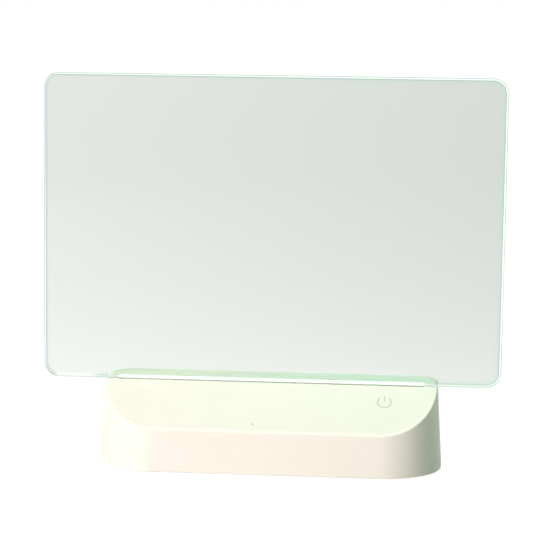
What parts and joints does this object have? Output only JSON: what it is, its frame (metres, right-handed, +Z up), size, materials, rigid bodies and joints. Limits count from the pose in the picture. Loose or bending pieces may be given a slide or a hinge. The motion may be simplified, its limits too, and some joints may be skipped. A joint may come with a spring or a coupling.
{
  "type": "led memo board",
  "caption": "Edge-lit memo board: clear upright writing panel with round corners, standing in the slot of a white wedge base with a touch key, light bar and charging socket.",
  "frame": {"origin": "on the table, under the middle of the base's footprint", "axes": "+X to the right along the panel, +Y from the front to the back, +Z up"},
  "size_m": [0.3, 0.082, 0.2544],
  "materials": {
    "clear_acrylic": "polished clear sheet with glowing mint edges",
    "housing_white": "fine satin moulded plastic",
    "cover_white": "fine satin moulded plastic",
    "screw_steel": "zinc plated",
    "foot_rubber": "matt",
    "carrier_white": "moulded",
    "led_board_white": "white solder mask",
    "led_phosphor": "cast resin",
    "wire_red": "extruded insulation",
    "wire_yellow": "extruded insulation",
    "board_green": "solder mask",
    "board_blue": "solder mask",
    "chip_black": "moulded",
    "spring_plated": "plated wire",
    "capacitor_can": "drawn can",
    "socket_white": "moulded",
    "light_pipe_clear": "polished",
    "socket_steel": "drawn",
    "cell_wrap": "shrink sleeve",
    "tab_nickel": "spot welded strip",
    "pad_foam": "closed-cell foam"
  },
  "bodies": {
    "base": {"upper_housing": "housing_white", "bottom_cover": "cover_white", "cover_screws": "screw_steel", "rubber_feet": "foot_rubber", "led_carrier": "carrier_white", "carrier_screws": "screw_steel", "led_board": "led_board_white", "leds": "led_phosphor", "led_leads": "wire_red", "touch_board": "board_green", "touch_chip": "chip_black", "touch_spring": "spring_plated", "touch_screws": "screw_steel", "touch_leads": "wire_yellow", "control_board": "board_green", "control_chips": "chip_black", "control_capacitors": "capacitor_can", "control_screws": "screw_steel", "wire_sockets": "socket_white", "indicator_led": "led_phosphor", "light_pipe": "light_pipe_clear", "charge_board": "board_blue", "charge_chips": "chip_black", "charge_screws": "screw_steel", "usb_shell": "socket_steel", "usb_tongue": "chip_black", "charge_leads": "wire_red", "battery_cell": "cell_wrap", "battery_tabs": "tab_nickel", "battery_guard_board": "board_green", "battery_pads": "pad_foam", "battery_leads": "wire_red"},
    "panel": {"acrylic_panel": "clear_acrylic"}
  },
  "joints": [
    {"name": "panel_lift", "type": "slide", "parent": "base", "child": "panel", "axis": [0, 0, 1], "range_m": [0, 0.03]}
  ]
}
